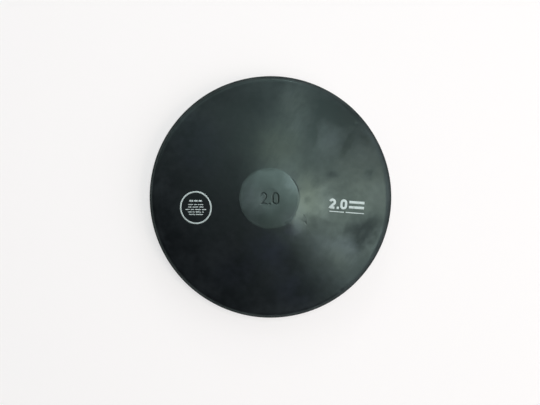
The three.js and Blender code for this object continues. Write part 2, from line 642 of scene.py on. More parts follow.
# %% A closed sheet from a top and an underside
def closed_sheet(shell, top, under, wraps=False):
    """Adds a closed sheet: two grids of points and the walls between their borders."""
    over = [[shell.verts.new(place) for place in row] for row in top]
    below = [[shell.verts.new(place) for place in row] for row in under]
    lines, width = len(over), len(over[0])
    for i in range(lines if wraps else lines - 1):
        j = (i + 1) % lines
        for k in range(width - 1):
            shell.faces.new((over[i][k], over[j][k], over[j][k + 1], over[i][k + 1])).smooth = True
            shell.faces.new((below[i][k], below[i][k + 1], below[j][k + 1], below[j][k]))
        for k in (0, width - 1):
            shell.faces.new((over[i][k], below[i][k], below[j][k], over[j][k]))
    ends = () if wraps else (0, lines - 1)
    for i in ends:
        for k in range(width - 1):
            shell.faces.new((over[i][k], over[i][k + 1], below[i][k + 1], below[i][k]))


def sheet_piece(name, sheets):
    """A piece from sheets, each given as its top, its underside and whether it wraps."""
    shell = bmesh.new()
    for top, under, wraps in sheets:
        closed_sheet(shell, top, under, wraps)
    bmesh.ops.recalc_face_normals(shell, faces=shell.faces)
    return new_piece(name, shell)


# %% [markdown]
# ## The bead in the joint
#
# The plug is bonded in, and the bond rises in the gap round it and over the plug's rounded
# edge, so that flat and taper meet in one crisp corner. Round one side that corner lies a
# little further in, where more of the bond was trimmed off. On the upper side it stops short
# over part of the way round, beside the dip, and the open gap shows there as a thin dark
# line. A groove cut into the body would need an edge of its own in both meshes. A flat ring
# laid over the gap needs none: it starts on the plug, ends on the taper, and both its
# borders are sunk out of sight.

# %% Levels that the bead lies between
bead_inner = flat_radius - 0.3 * MM
bead_outer = mouth_radius + 0.4 * MM
bead_turn = (mouth_radius - 0.45 * MM, mouth_radius + 0.1 * MM)
turned_in = 0.6 * MM
turned_in_heading, turned_in_spread = math.radians(85), math.radians(48)
open_place = 26.95 * MM
open_width = 0.22 * MM
open_depth = 0.38 * MM
bead_below = 0.012 * MM
bead_sunk = 0.1 * MM
bead_thickness = 0.4 * MM
bead_points = 31


def past_turn(radius, angle):
    """0 on the plug's side of the bead's corner, 1 on the taper's side."""
    off = half_turn(angle - turned_in_heading) / turned_in_spread
    shift = turned_in * np.exp(-(off**2))
    return smooth(bead_turn[0] - shift, bead_turn[1] - shift, radius)


def taper_height(radius):
    """Height of the true taper above the parting plane."""
    return rim_radius * math.cos(taper) + (taper_top - radius) * math.tan(taper)


def body_level(radius, angle, relief):
    """Height of the dressed taper above the parting plane, carried on inwards of its end."""
    s = rim_length + (taper_top - radius) / math.cos(taper)
    return taper_height(radius) + relief(s, angle) / math.cos(taper)


def plug_level(radius, angle, relief):
    """Height of the plug's flat above the parting plane, carried on past its edge."""
    within = np.minimum(radius, flat_radius)
    fall = crown_power * hub_crown / flat_radius
    return hub_top + relief(full_hub_length - within, angle) - fall * (radius - within)


# %% The beads
def joint_bead(name, side, open_share, body_face, plug_face):
    """A ring from the plug to the taper, with a narrow groove where the joint is open."""
    radius = np.linspace(bead_inner, bead_outer, bead_points)[None, :] + 0 * column_angles[:, None]
    angle = column_angles[:, None] + 0 * radius
    over = past_turn(radius, angle)
    on_plug, on_body = plug_level(radius, angle, plug_face), body_level(radius, angle, body_face)
    level = on_plug * (1 - over) + on_body * over
    hidden = 1 - smooth(bead_inner, flat_radius, radius) + smooth(bead_turn[1], bead_outer, radius)
    gap = open_share(angle) * np.exp(-(((radius - open_place) / open_width) ** 2))
    level = level - bead_below - bead_sunk * hidden - open_depth * gap
    x, y = on_plan(radius, angle)
    top = np.stack([x, y, parting_height + side * level], axis=-1)
    under = np.stack([x, y, parting_height + side * (level - bead_thickness)], axis=-1)
    return sheet_piece(name, [(top, under, True)])


def open_beside_dip(angle):
    """How far the upper joint is open: wholly beside the dip."""
    return beside_dip(half_turn(angle))


def never_open(angle):
    """How far the lower joint is open: nowhere."""
    return 0 * angle


upper_bead = joint_bead("upper_joint_bead", 1, open_beside_dip, upper_relief, plain_hub_relief)
lower_bead = joint_bead("lower_joint_bead", -1, never_open, lower_relief, plain_hub_relief)

# %% [markdown]
# ## Rubber squeezed out beside the plug
#
# Where the plug was pressed in, soft rubber was forced out of the joint at one side and ran
# over its edge on to the taper. It turns the step into a ramp and hides the crisp edge. Its
# reach from the axis is given by heading, read off the real thing in fifteen places and
# smoothed. It rises over the lip, and its border is torn at the crease. Cutting it out of
# the body would take fine faces all round, so it is one more thin sheet laid on top.

# %% How far it reaches
# Heading in degrees and distance from the axis in millimetres
ramp_reach = {
    -63: 26.2, -58: 29.0, -52: 33.0, -46: 36.5, -41: 38.5, -36: 39.4, -31: 38.4, -27: 35.4,
    -22: 33.8, -15: 33.6, -8: 32.8, -2: 31.0, 5: 28.9, 11: 27.4, 18: 26.0,
}
smoothing_window = np.hanning(21)


def smoothed_reach(headings):
    """The reach at each heading, with its corners rounded."""
    known = sorted(ramp_reach)
    reach = np.interp(headings, known, [ramp_reach[heading] for heading in known])
    padded = np.pad(reach, len(smoothing_window) // 2, mode="edge")
    return np.convolve(padded, smoothing_window / smoothing_window.sum(), mode="valid") * MM


print(f"squeezed out rubber reaches {max(ramp_reach.values()):.0f} mm from the axis")

# %% The ramp's surface
ramp_crest = 25.6 * MM
shortest_run = 1 * MM
ramp_uneven, uneven_length, uneven_seed = 0.012 * MM, 9 * MM, 5


def ramp_ground(radius, angle):
    """The surface that the ramp lies on: plug, then bead, then taper."""
    over = past_turn(radius, angle)
    on_plug = plug_level(radius, angle, plain_hub_relief)
    return on_plug * (1 - over) + body_level(radius, angle, upper_relief) * over


def run_out(radius, reach):
    """Share of the way from the ramp's crest to its toe."""
    return np.clip((radius - ramp_crest) / np.maximum(reach - ramp_crest, shortest_run), 0, 1)


def ramp_level(radius, angle, reach):
    """Height of the ramp: level to its crest, then down to a soft toe, and over the lip."""
    x, y = on_plan(radius, angle)
    crest_level = plug_level(ramp_crest, angle, plain_hub_relief)
    straight = crest_level - (radius - ramp_crest) * math.tan(taper)
    toe = (straight - taper_height(radius)) * (1 - (1 - run_out(radius, reach)) ** 2)
    level = np.minimum(crest_level, straight - toe)
    return level + lip(x, y) + ramp_uneven * ripples(x, y, uneven_length, uneven_seed)


# %% The ramp's borders
ramp_root = 24.2 * MM
root_border = 1.4 * MM
end_fade = 9
soft_border, torn_border = 3.2 * MM, 0.4 * MM
torn_from, torn_to = (-35, -32), (-29, -25)


def torn_share(headings):
    """1 over the short stretch where the border is torn, 0 elsewhere."""
    return smooth(*torn_from, headings) * (1 - smooth(*torn_to, headings))


def standing(radius, headings, reach):
    """1 where the ramp stands on its ground, falling to 0 at its borders."""
    first, last = headings[0], headings[-1]
    ends = smooth(first, first + end_fade, headings) * (1 - smooth(last - end_fade, last, headings))
    torn = torn_share(headings)
    border = soft_border * (1 - torn) + torn_border * torn
    near_border = smooth(0, 1, (reach - radius) / border)
    return smooth(0, root_border, radius - ramp_root) * near_border * ends


# %% The ramp
ramp_skin = 0.015 * MM
ramp_sunk = 0.3 * MM
border_sunk = 0.05 * MM
torn_step = 0.08 * MM
ramp_rows, ramp_points = 300, 70


def squeezed_out_rubber():
    """A closed sheet from the plug's edge to where the rubber runs out."""
    headings = np.linspace(min(ramp_reach), max(ramp_reach), ramp_rows)[:, None]
    reach = smoothed_reach(headings[:, 0])[:, None]
    radius = ramp_root + (reach - ramp_root) * np.linspace(0, 1, ramp_points)[None, :]
    angle = np.radians(headings) + 0 * radius
    ground = ramp_ground(radius, angle)
    step = torn_step * torn_share(headings) * run_out(radius, reach)
    over_ground = np.maximum(ramp_level(radius, angle, reach) - ground, 0) + ramp_skin + step
    whole = standing(radius, headings, reach)
    top = ground + over_ground * whole - border_sunk * (1 - whole)
    x, y = on_plan(radius, angle)
    over = np.stack([x, y, parting_height + top], axis=-1)
    under = np.stack([x, y, parting_height + ground - ramp_sunk], axis=-1)
    return sheet_piece("squeezed_out_rubber", [(over, under, False)])


ramp_piece = squeezed_out_rubber()

# %% [markdown]
# ## The prints
#
# Two white prints lie on the taper, put on with a soft pad that wraps round it. A taper
# unrolls into a flat sector, so a flat drawing can be rolled back on to it without any
# stretch: that is what the function below does, and a printed ring stays a true ring along
# the surface. An image would be the quick way, but drawn strokes keep a sharp edge at any
# distance. The drawings are plain: a ring with rows of dashes, and a figure with bars.

# %% Rolling a flat drawing on to the taper
ink_thickness = 0.05 * MM
ink_sunk = 0.06 * MM


def on_taper(u, v, radius, heading, turn, lift):
    """The point of the upper taper where the point u, v of a drawing comes to lie."""
    out = u * math.cos(turn) - v * math.sin(turn)
    sideways = u * math.sin(turn) + v * math.cos(turn)
    slant = radius / math.cos(taper) + out
    place_radius = np.hypot(slant, sideways) * math.cos(taper)
    angle = heading + np.arctan2(sideways, slant) / math.cos(taper)
    s = rim_length + (taper_top - place_radius) / math.cos(taper)
    off = upper_relief(s, angle) + lift
    true_radius, height, facing = body_outline(s)
    reach = true_radius + off * np.cos(facing)
    z = parting_height + height + off * np.sin(facing)
    return np.stack([*on_plan(reach, angle), z], axis=-1)


# %% Strokes with a width
stroke_spacing = 0.5 * MM
across_stroke = np.array([-0.5, -0.17, 0.17, 0.5])


def finely(path):
    """The same path with its straight runs cut into short ones."""
    points = [path[0]]
    for (ax, ay), (bx, by) in zip(path, path[1:]):
        count = max(1, math.ceil(math.hypot(bx - ax, by - ay) / stroke_spacing))
        for k in range(1, count + 1):
            points.append((ax + (bx - ax) * k / count, ay + (by - ay) * k / count))
    return np.array(points)


def stroke_edges(path, width):
    """Points across a stroke at each point of its path: both edges and two between them."""
    closed = np.allclose(path[0], path[-1]) and len(path) > 2
    points = finely(path)[:-1] if closed else finely(path)
    if closed:
        run = np.roll(points, -1, axis=0) - np.roll(points, 1, axis=0)
    else:
        run = np.gradient(points, axis=0)
    run /= np.linalg.norm(run, axis=1)[:, None]
    normal = np.stack([-run[:, 1], run[:, 0]], axis=1)
    across = across_stroke * width
    return points[:, None, :] + normal[:, None, :] * across[None, :, None], closed


def print_drawing(name, strokes, radius, heading, turn):
    """One print from its strokes, each a path and a width."""
    sheets = []
    for path, width in strokes:
        flat, closed = stroke_edges(path, width)
        u, v = flat[..., 0], flat[..., 1]
        top = on_taper(u, v, radius, heading, turn, ink_thickness)
        under = on_taper(u, v, radius, heading, turn, -ink_sunk)
        sheets.append((top, under, closed))
    return sheet_piece(name, sheets)


# %% [markdown]
# ## The ring with its rows of dashes
#
# The left print is a ring round one heavy row of dashes and five light ones. The dashes
# differ in length, as printed marks do, and each row is centred on the ring. They could be
# an even pattern from an array modifier, but an even pattern looks like a grille.

# %% The ring print
ring_radius = 14.25 * MM
ring_line = 1.35 * MM
ring_step = 3.75
heavy_line, light_line = 1.5 * MM, 0.8 * MM
dash_gap = 0.9 * MM
heavy_row, first_row, row_pitch = 6.1 * MM, 2.75 * MM, 2.24 * MM
heavy_dashes = (3.6, 3.2, 3.2)
light_dashes = ((4.4, 2.6, 5.2), (3.2, 5.4, 3.8), (4, 3, 5.6, 4.2), (3.4, 2, 4.8, 2), (5.4, 6.8))


def dashes(y, lengths, gap, line):
    """A row of dashes centred on the drawing, from their lengths in millimetres."""
    x = -(sum(lengths) * MM + gap * (len(lengths) - 1)) / 2
    made = []
    for length in lengths:
        made.append(([(x, y), (x + length * MM, y)], line))
        x += length * MM + gap
    return made


ring_drawing = [(arc_points(0, 0, ring_radius, 0, 360, ring_step), ring_line)]
ring_drawing += dashes(heavy_row, heavy_dashes, dash_gap, heavy_line)
for row, lengths in enumerate(light_dashes):
    ring_drawing += dashes(first_row - row * row_pitch, lengths, dash_gap, light_line)

ring_print = print_drawing(
    "ring_print",
    ring_drawing,
    radius=67.3 * MM,
    heading=math.radians(-172.6),
    turn=math.radians(173.2),
)

# %% [markdown]
# ## The figure with its bars
#
# The right print gives the weight in kilograms, 2.0, from the same centre lines as the
# moulded figures but bolder. Two bars stand beside it and two thin rules lie below. A text
# object would be quicker, but it can't be rolled on to the taper without a shrinkwrap, and
# its outline has far more corners than these strokes need.

# %% The weight print
figure_line, bar_line, rule_line = 2.2 * MM, 2.3 * MM, 0.8 * MM
figure_place = (-8.6 * MM, 1.6 * MM)
bar_from, bar_to = 1.6 * MM, 15.6 * MM
bar_rows = (4.1 * MM, -0.5 * MM)
rule_row, rule_gap = -5.4 * MM, 1.6 * MM
rule_lengths = (13.4, 17.0)
printed_figures = figures(width=4.2 * MM, height=7.0 * MM, spread=10.4 * MM, point_length=2.0 * MM)

weight_drawing = []
for path in printed_figures:
    placed = [(x + figure_place[0], y + figure_place[1]) for x, y in path]
    weight_drawing.append((placed, figure_line))
for y in bar_rows:
    weight_drawing.append(([(bar_from, y), (bar_to, y)], bar_line))
weight_drawing += dashes(rule_row, rule_lengths, rule_gap, rule_line)

weight_print = print_drawing(
    "weight_print",
    weight_drawing,
    radius=70.1 * MM,
    heading=math.radians(-6.1),
    turn=math.radians(1.3),
)

# %% [markdown]
# ## What each piece belongs to
#
# The dressed halves and plugs stand for the solids that they were made from, and hide them.
# The beads, the squeezed out rubber and the prints are extra. Nothing on a discus moves, so
# every piece belongs to the one body, which is called root.

# %% Every piece joins the body and stands for its solid
for piece, node in (
    (upper_body, "upper_rubber_half"),
    (lower_body, "lower_rubber_half"),
    (upper_plug, "upper_hub_plug"),
    (lower_plug, "lower_hub_plug"),
):
    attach(piece, "root")
    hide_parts(node)
for piece in (upper_bead, lower_bead, ramp_piece, ring_print, weight_print):
    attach(piece, "root")

# %% [markdown]
# ## Node helpers
#
# The finishes are small node trees. One helper adds a node and fills its sockets, either
# with a plain value or with the output of another node, so that a tree reads from top to
# bottom in the order in which it works.

# %% Adding and joining nodes
def add(tree, kind, inputs=None, **settings):
    """A node with its settings, and its sockets filled with values or joined to outputs."""
    made = tree.nodes.new(kind)
    for key, value in settings.items():
        setattr(made, key, value)
    for socket, value in (inputs or {}).items():
        if isinstance(value, bpy.types.NodeSocket):
            tree.links.new(value, made.inputs[socket])
        else:
            made.inputs[socket].default_value = value
    return made


def new_finish(name):
    """A material, its node tree and its shader."""
    finish = bpy.data.materials.new(name)
    finish.use_nodes = True
    tree = finish.node_tree
    return finish, tree, tree.nodes["Principled BSDF"]


def maths(tree, operation, *values):
    """Values put together by one operation."""
    return add(tree, "ShaderNodeMath", dict(enumerate(values)), operation=operation).outputs[0]


def plus(tree, first, second):
    """The sum of two values."""
    return maths(tree, "ADD", first, second)


def times(tree, first, second):
    """The product of two values."""
    return maths(tree, "MULTIPLY", first, second)


# %% Clouds, ranges and mixed colours
fine_detail = 5
# The mix node has sockets for each kind of value, and these are the ones for colours
colours_in, colour_out = (6, 7), 2


def cloud(tree, where, size, detail=3, unevenness=0.5):
    """Soft cloudy noise whose patches are about one size across."""
    inputs = {"Vector": where, "Scale": 1 / size, "Detail": detail, "Roughness": unevenness}
    return add(tree, "ShaderNodeTexNoise", inputs).outputs["Fac"]


def between(tree, value, low, high, to_low=0.0, to_high=1.0, straight=False):
    """The value stretched from one range to another, with soft ends unless it is straight."""
    ranges = {"Value": value, "From Min": low, "From Max": high, "To Min": to_low, "To Max": to_high}
    way = "LINEAR" if straight else "SMOOTHSTEP"
    return add(tree, "ShaderNodeMapRange", ranges, interpolation_type=way).outputs["Result"]


def blend_colour(tree, share, first, second):
    """A mix of two plain colours."""
    made = add(tree, "ShaderNodeMix", {"Factor": share}, data_type="RGBA")
    for socket, colour in zip(colours_in, (first, second)):
        made.inputs[socket].default_value = (*colour, 1)
    return made.outputs[colour_out]


# %% [markdown]
# ## The film on old rubber
#
# Black rubber leaves a blasted mould with a fine satin grain. With time, wax comes to its
# surface as a grey film, the bloom, and handling wipes it off again. Where the film lies the
# rubber is paler, and a little smoother because the wax fills the grain. It looks like
# smoke, so it is made of clouds: broad ones whose borders are bent by other clouds, and a
# finer mottle. A picture could do the same from one side only. Clouds are on every side.

# %% Clouds of bloom
bend_size, bend_reach = 30 * MM, 9 * MM
cloud_size, mottle_size = 26 * MM, 6 * MM
cloud_share, mottle_share = 0.6, 0.4
film_from, film_to = 0.3, 0.7
middle_grey = (0.5, 0.5, 0.5)


def wandering(tree, where, size, reach):
    """The coordinates shifted by clouds, so that what is drawn with them has ragged borders."""
    clouds = add(tree, "ShaderNodeTexNoise", {"Vector": where, "Scale": 1 / size, "Detail": 2})
    both_ways = {0: clouds.outputs["Color"], 1: middle_grey}
    centred = add(tree, "ShaderNodeVectorMath", both_ways, operation="SUBTRACT")
    shift = {0: centred.outputs[0], "Scale": 2 * reach}
    shift = add(tree, "ShaderNodeVectorMath", shift, operation="SCALE")
    ends = {0: where, 1: shift.outputs[0]}
    return add(tree, "ShaderNodeVectorMath", ends, operation="ADD").outputs[0]


def film_clouds(tree, where):
    """The film's share from 0 to 1."""
    broad = cloud(tree, wandering(tree, where, bend_size, bend_reach), cloud_size, detail=2)
    mottle = cloud(tree, where, mottle_size, detail=2)
    film = plus(tree, times(tree, broad, cloud_share), times(tree, mottle, mottle_share))
    return between(tree, film, film_from, film_to)


# %% [markdown]
# ## Patches that catch the eye
#
# Some patches of the upper side are too plain to leave to chance: a smudge at the right,
# darker streaks, pale clouds at the top. Others are painted highlight, where the taper's
# reflection is bright beside the joint, over the squeezed out rubber and along a streak to the
# lower right. They could be painted on the mesh, but paint is only as fine as the mesh is. So
# each is a soft oval on the plan with its place, half lengths and turn, and it says how much
# rougher and how much paler the rubber is there.
# Bent coordinates and wisps of cloud, drawn out along the way the cloth went, break the
# ovals up. Their depth is more than the discus's thickness, so they fade out underneath.

# %% Patches of the upper side
# Place, half lengths (mm), turn (degrees), how much rougher, how much paler (bloom in most, painted
# highlight in some)
body_patches = {
    "right_edge_smudge": ((84, -33), (20, 15), 45, 0.29, -0.1),
    "right_edge_smudge_tail": ((98, -22), (8, 9), 0, 0.14, 0),
    "small_spot": ((56, 21.5), (5, 4), 0, 0.17, 0),
    "small_rim_spot": ((90, 23), (7, 5.5), 30, 0.3, -0.35),
    "below_the_joint": ((46, -23), (9, 6), -30, 0.07, 0),
    "upper_right_band": ((60, 76), (18, 9), -32, -0.08, -0.45),
    "upper_right_tail": ((87, 48), (11, 5), -60, -0.03, -0.35),
    "upper_right_streak": ((39.5, 55), (8, 4), 85, -0.03, -0.4),
    "upper_right_streak_top": ((45, 73), (9, 3.5), 65, 0, -0.2),
    "right_streak": ((70, 48), (12, 3.5), 62, -0.03, -0.4),
    "lower_middle": ((22, -56), (13, 16), 12, -0.06, -0.08),
    "lower_right": ((34, -83), (16, 12), 20, -0.05, -0.08),
    # The next five are painted highlight where the taper's reflection is bright: right of the joint,
    # over and below the squeezed out rubber, and along the streak to the lower right
    "painted_highlight_right_of_joint": ((41, -3), (17, 13), 0, -0.11, 0.85),
    "painted_highlight_over_the_ramp": ((26, -14), (8, 15), 5, -0.17, 1.0),
    "painted_highlight_below_the_ramp": ((20.5, -27.5), (7, 6), 0, -0.1, 0.55),
    "painted_highlight_streak_lower_right": ((53, -50), (42, 10), -44, -0.07, 0.25),
    "painted_highlight_streak_end": ((65, -47), (17, 11), -38, -0.06, 0.9),
    "right_rim_pale": ((99, 5), (10, 12), 90, 0, 0.25),
    "right_upper_rim_pale": ((88, 42), (10, 12), 60, 0, 0.4),
    "beside_the_dip": ((31, 14), (12, 7), 60, 0, 0.9),
    "top_pale": ((12, 44), (19, 29), -10, 0.03, 0.6),
    "upper_right_pale": ((51, 52), (12, 19), -35, 0.03, 0.6),
    "top_rim_pale": ((21, 90), (14, 16), -20, 0.02, 0.65),
    "top_right_pale": ((27, 71), (8, 13), -10, 0, 0.45),
    "top_dark": ((-5, 86), (17, 12), 0, -0.04, -0.12),
    "upper_left_pale": ((-50, 73), (16, 17), 30, 0, 0.15),
    "upper_left_dark": ((-32, 27), (13, 10), 140, -0.04, -0.03),
    "left_rim_pale": ((-99, 10), (9, 34), -8, 0, 0.09),
    "left_of_the_ring": ((-84, -8), (9, 14), 0, 0, 0.13),
    "below_the_ring": ((-54, -22), (16, 11), 0, 0, 0.035),
    "upper_left_rim_pale": ((-74, 76), (26, 7), 46, 0, 0.09),
    "lower_left_dark": ((-28, -57), (22, 14), -50, -0.02, -0.05),
    "lower_left_rim_dark": ((-72, -57), (12, 9), -50, 0, -0.04),
    "below_the_hub_dark": ((2, -40), (10, 9), 0, 0, -0.03),
    "bottom_rim_pale": ((10, -104), (34, 7), 5, 0, 0.18),
}
hub_patches = {
    "right_of_the_mark": ((16, -3), (10, 12), 10, -0.04, -0.15),
    # Painted highlight on the plug's edge at the upper right
    "painted_highlight_hub_edge": ((20.5, 12.5), (12, 5.5), -60, 0, 1.0),
    "left_of_the_mark": ((-15, 1), (10, 13), 0, 0, 0.6),
    "below_the_mark": ((2, -18), (11, 6), 0, 0, -0.2),
    # Painted highlight on the plug's edge beside the squeezed out rubber
    "painted_highlight_beside_the_ramp": ((19, -15), (6, 10), -38, -0.05, 0.6),
}
print(f"{len(body_patches)} patches on the body, {len(hub_patches)} on the hub")

# %% Ovals with ragged borders
centre_thickness = 2 * hub_top
patch_spread = 1.6
full_share = 0.9
broad_bend, fine_bend = (14 * MM, 4.5 * MM), (4.5 * MM, 1.8 * MM)


def ragged_borders(tree, where):
    """The coordinates bent twice, broadly and finely."""
    return wandering(tree, wandering(tree, where, *broad_bend), *fine_bend)


def soft_oval(tree, where, place, half_lengths, turn):
    """1 in the middle of an oval on the upper side, fading to 0 round it."""
    long, wide = (half * patch_spread * MM for half in half_lengths)
    inputs = {
        "Vector": where,
        "Location": (place[0] * MM, place[1] * MM, parting_height + shoulder),
        "Rotation": (0, 0, math.radians(turn)),
        "Scale": (long, wide, centre_thickness),
    }
    oval = add(tree, "ShaderNodeMapping", inputs, vector_type="TEXTURE").outputs[0]
    fading = add(tree, "ShaderNodeTexGradient", {"Vector": oval}, gradient_type="SPHERICAL")
    return fading.outputs["Fac"]


# %% The patches as nodes
wisp_heading = math.radians(60)
wisp_stretch = (45 * MM, 20 * MM, 45 * MM)
# The wisps are sized in the stretched coordinates, so this is a share of the stretch
wisp_size, wisp_unevenness = 0.28, 0.55
wisp_from, wisp_to = 0.3, 0.7
thinnest, thickest = 0.75, 1.25


def wisps_of_cloud(tree, where):
    """A factor near 1 that is streaky along one heading."""
    drawn_out = {"Vector": where, "Rotation": (0, 0, wisp_heading), "Scale": wisp_stretch}
    drawn_out = add(tree, "ShaderNodeMapping", drawn_out, vector_type="TEXTURE").outputs[0]
    wisps = cloud(tree, drawn_out, wisp_size, unevenness=wisp_unevenness)
    return between(tree, wisps, wisp_from, wisp_to, thinnest, thickest)


def patch_shares(tree, where, patches):
    """How much rougher and how much paler, partly as painted highlight, each place of the upper side
    is.
    """
    ragged = ragged_borders(tree, where)
    wisps = wisps_of_cloud(tree, where)
    rougher, paler = 0.0, 0.0
    for place, half_lengths, turn, more_rough, more_pale in patches.values():
        oval = soft_oval(tree, ragged, place, half_lengths, turn)
        share = between(tree, times(tree, oval, wisps), 0, full_share)
        if more_rough:
            rougher = plus(tree, rougher, times(tree, share, more_rough))
        if more_pale:
            paler = plus(tree, paler, times(tree, share, more_pale))
    return rougher, paler


# %% [markdown]
# ## Dusty and clean places
#
# Dust from the field sticks to the film and turns it a little brown, most above the joint
# and beside it, while clean rubber keeps its blue. The change is slight, and shows only
# beside another place. It could be a second film with clouds of its own. Here the blue in
# the colour is taken down or up in soft ovals like those of the patches, which keeps every
# place easy to tune.

# %% Less and more blue
# Place, half lengths (mm), turn (degrees), how much bluer
tinted_places = {
    "dusty_above_the_joint": ((6, 46), (30, 26), 0, -0.3),
    "dusty_beside_the_joint": ((35, 3), (12, 26), 5, -0.3),
    "dusty_top": ((24, 85), (22, 16), 0, -0.15),
    "dusty_streak_end": ((64, -60), (18, 10), -40, -0.2),
    "clean_below_the_joint": ((4, -46), (22, 18), 10, 0.34),
    "clean_lower_middle": ((26, -80), (22, 18), 0, 0.38),
    "clean_lower_left": ((-30, -68), (20, 14), 20, 0.15),
    "clean_upper_left": ((-66, 50), (20, 26), 30, 0.25),
    "clean_right_edge": ((82, -36), (16, 14), 0, 0.3),
}
print(f"{len(tinted_places)} dusty and clean places")


def blueness(tree, where, places):
    """What the blue of the rubber is multiplied by, place by place."""
    ragged = ragged_borders(tree, where)
    bluer = 1.0
    for place, half_lengths, turn, more_blue in places.values():
        oval = soft_oval(tree, ragged, place, half_lengths, turn)
        share = between(tree, oval, 0, full_share)
        bluer = plus(tree, bluer, times(tree, share, more_blue))
    return bluer


def tinted(tree, where, colour, places):
    """A colour with less blue in the dusty places and more in the clean ones."""
    tint = add(tree, "ShaderNodeCombineXYZ", {"X": 1, "Y": 1, "Z": blueness(tree, where, places)})
    factors = {0: colour, 1: tint.outputs[0]}
    return add(tree, "ShaderNodeVectorMath", factors, operation="MULTIPLY").outputs[0]


# %% [markdown]
# ## From the film to the finish
#
# The film is read off twice: as a colour between black and a blue grey, and as a
# roughness. Two shaders with a mask between them could show film and bare rubber too, but
# one is quicker to render. Hands and cloths wipe the rim more than the middle, so the
# roughness falls outward, and the rim's very edge is scuffed rough. The roughness has a
# lower limit, because a mirror-like patch would look wet. The reflection is a little green,
# as it is on waxy rubber: that is one value for the whole surface, so it is set on the
# shader's own socket. Fine grain from the blasted mould is bump, since it is too small to be
# worth geometry.

# %% Wiping and scuffing towards the rim
wiped_off = 0.07
scuffed_on = 0.7
scuffed_from, scuffed_to = 3.2 * MM, 0.4 * MM
plan_only = (1, 1, 0)


def wiped_rim(tree, where):
    """Roughness that falls from the joint to the rim, and rises at the rim's edge."""
    flat = add(tree, "ShaderNodeVectorMath", {0: where, 1: plan_only}, operation="MULTIPLY")
    length = add(tree, "ShaderNodeVectorMath", {0: flat.outputs[0]}, operation="LENGTH")
    away = length.outputs["Value"]
    wiped = between(tree, away, mouth_radius, rim_centre, wiped_off, -wiped_off, straight=True)
    edge = (outer_radius - scuffed_from, outer_radius - scuffed_to)
    return plus(tree, wiped, between(tree, away, *edge, 0, scuffed_on))


# %% Bloomed rubber
black_rubber, black_hub = (0.0026, 0.0026, 0.0044), (0.004, 0.006, 0.006)
# The pale blue grey of the bloom, which the painted highlights of the patches also blend towards
bloom_and_sheen_grey = (0.0375, 0.048, 0.053)
bare_body, bare_hub, under_film = 0.4, 0.38, 0.3
thin_film = 0.32
glossiest, limit_softness = 0.285, 0.08
grain_size, grain_depth, grain_strength = 0.7 * MM, 0.02 * MM, 0.3
waxy_tint = (0.675, 1.0, 0.94, 1)
rubber_ior = 1.55


def film_roughness(tree, where, film, rougher, bare, wiped):
    """The roughness under the film and in the patches, kept above its lower limit."""
    roughness = plus(tree, between(tree, film, 0, 1, bare, under_film), rougher)
    if wiped:
        roughness = plus(tree, roughness, wiped_rim(tree, where))
    return maths(tree, "SMOOTH_MAX", roughness, glossiest, limit_softness)


def moulded_grain(tree, where):
    """The bump of the blasted mould's fine grain."""
    grain = cloud(tree, where, grain_size)
    inputs = {"Height": grain, "Distance": grain_depth, "Strength": grain_strength}
    return add(tree, "ShaderNodeBump", inputs).outputs["Normal"]


def bloom_and_painted_sheen_rubber(name, black, bare, patches, places=None, wiped=False):
    """Rubber under a film that makes it paler and a little smoother, with painted highlights in some
    of its patches.
    """
    finish, tree, shader = new_finish(name)
    where = add(tree, "ShaderNodeTexCoord").outputs["Object"]
    film = film_clouds(tree, where)
    rougher, paler = patch_shares(tree, where, patches)
    # Paleness of the film and of the patches; in some patches it is painted highlight
    bloom_and_painted_sheen = plus(tree, times(tree, film, thin_film), paler)
    colour = blend_colour(tree, bloom_and_painted_sheen, black, bloom_and_sheen_grey)
    if places:
        colour = tinted(tree, where, colour, places)
    roughness = film_roughness(tree, where, film, rougher, bare, wiped)
    tree.links.new(colour, shader.inputs["Base Color"])
    tree.links.new(roughness, shader.inputs["Roughness"])
    tree.links.new(moulded_grain(tree, where), shader.inputs["Normal"])
    shader.inputs["Specular Tint"].default_value = waxy_tint
    shader.inputs["IOR"].default_value = rubber_ior
    print(f"{name}: {len(tree.nodes)} nodes")
    return finish


# %% The rubber of the body and of the hub
body_rubber = bloom_and_painted_sheen_rubber(
    "body_rubber", black_rubber, bare_body, body_patches, tinted_places, wiped=True
)
hub_rubber = bloom_and_painted_sheen_rubber("hub_rubber", black_hub, bare_hub, hub_patches)

# %% [markdown]
# ## Printed ink
#
# Pad printing leaves a thin layer of matt ink, not quite white, that wears through in small
# flecks. The flecks are clouds much smaller than a stroke is wide. They could be holes in
# the strokes, but the ink only thins there, so a greyer white is nearer to the real thing.

# %% The ink
worn_ink, whole_ink = (0.36, 0.45, 0.45), (0.5, 0.62, 0.62)
fleck_size = 2.5 * MM
worn_from, worn_to = 0.25, 0.5
ink_roughness = 0.55


def printed_ink():
    """Matt ink with worn flecks."""
    finish, tree, shader = new_finish("pad_print")
    where = add(tree, "ShaderNodeTexCoord").outputs["Object"]
    flecks = cloud(tree, where, fleck_size, detail=fine_detail)
    whole = between(tree, flecks, worn_from, worn_to)
    tree.links.new(blend_colour(tree, whole, worn_ink, whole_ink), shader.inputs["Base Color"])
    shader.inputs["Roughness"].default_value = ink_roughness
    return finish


ink = printed_ink()

# %% [markdown]
# ## The steel inside
#
# The plate and the two washers are hidden in the rubber, and their solids are right as they
# are, so they only get a finish. One plain grey would do while they are hidden, but a piece
# can also be looked at alone. The plate was cut from hot rolled sheet, with dark scale on
# it, and the washers are brighter. Clouds mix the clean and the scaled colour, and where the
# scale lies the metal is rougher.

# %% Plate and washers
scale_size = 12 * MM
scale_from, scale_to = 0.45, 0.7
clean_roughness, scaled_roughness = 0.35, 0.6


